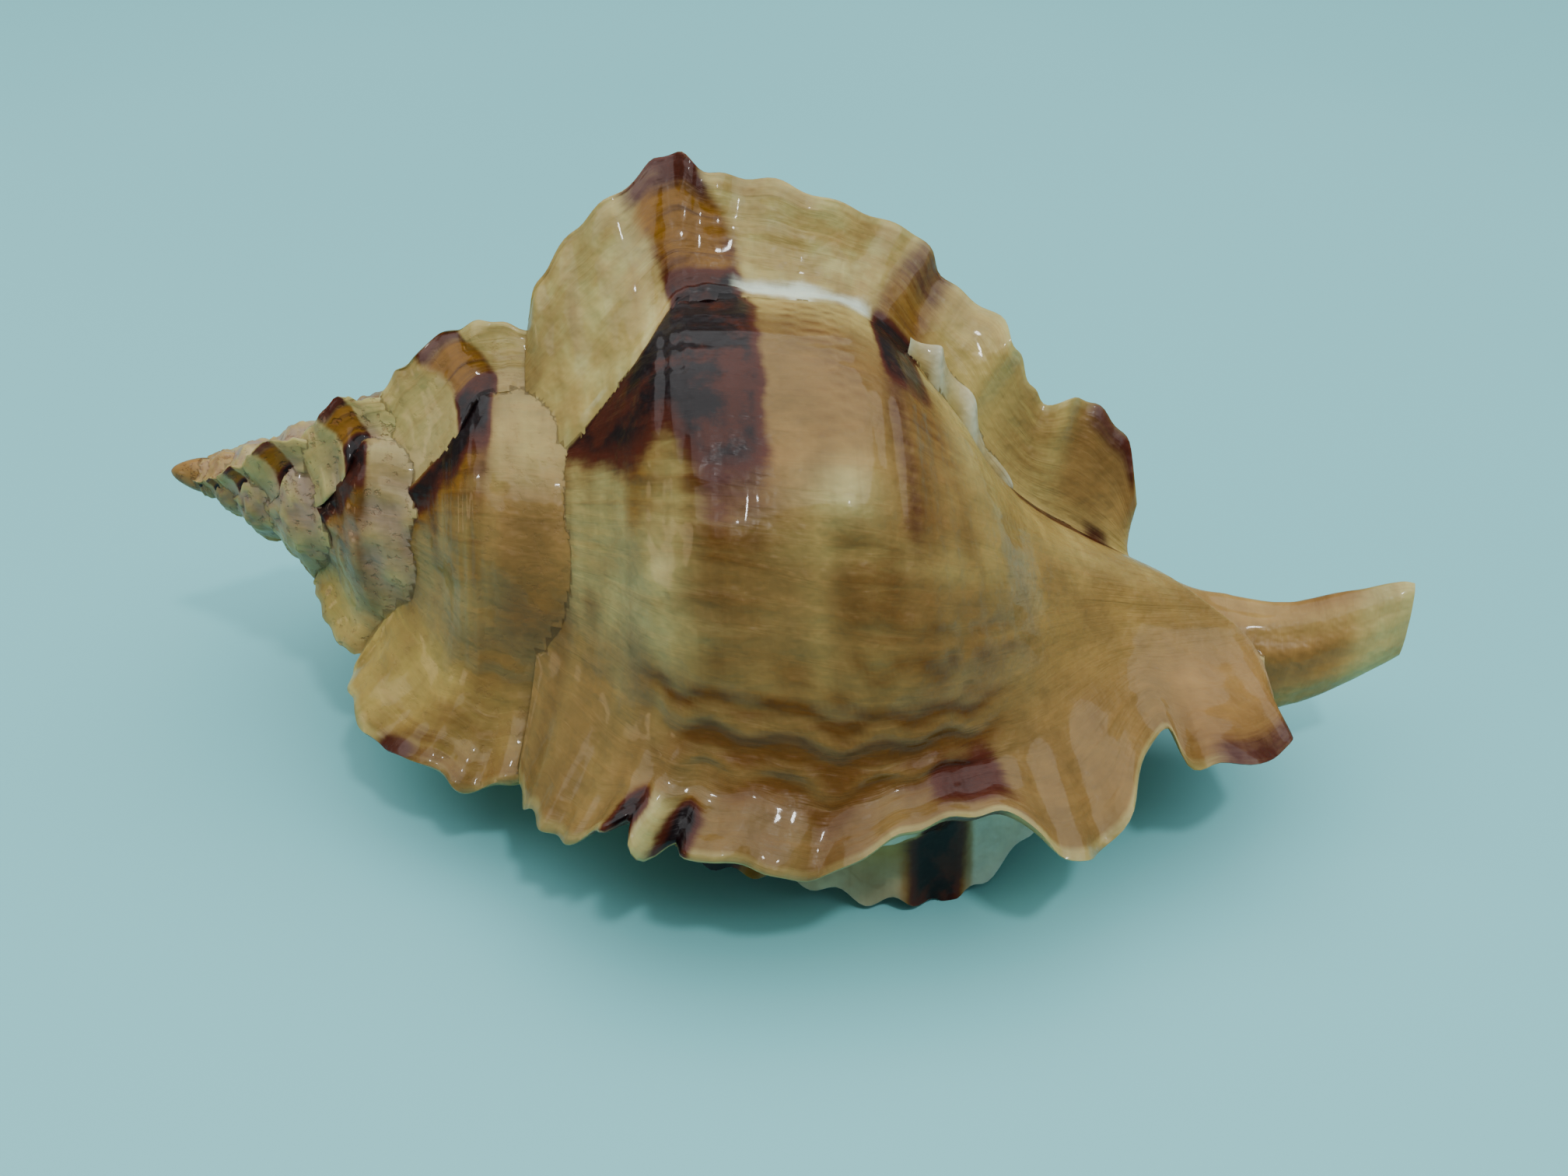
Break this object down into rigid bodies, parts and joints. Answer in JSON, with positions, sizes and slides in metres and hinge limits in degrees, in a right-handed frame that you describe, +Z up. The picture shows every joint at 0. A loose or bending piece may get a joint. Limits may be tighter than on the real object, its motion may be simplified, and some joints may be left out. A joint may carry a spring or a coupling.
{
  "type": "seashell",
  "caption": "Three-winged murex shell lying on its mouth, with winged ridges, a short spire, a closed upturned canal and a horny operculum.",
  "frame": {"origin": "centre of the footprint, on the ground the shell rests on", "axes": "+X toward the tip of the siphonal canal, -X toward the apex, -Y toward the outer lip, +Z up as the shell lies on its mouth"},
  "size_m": [0.0764, 0.0388, 0.0347],
  "materials": {
    "shell": "glossy cream and tan lime shell with dark brown spiral bands",
    "operculum": "satin dark red-brown horn"
  },
  "bodies": {
    "root": {"shell": "shell", "operculum": "operculum"}
  },
  "joints": []
}
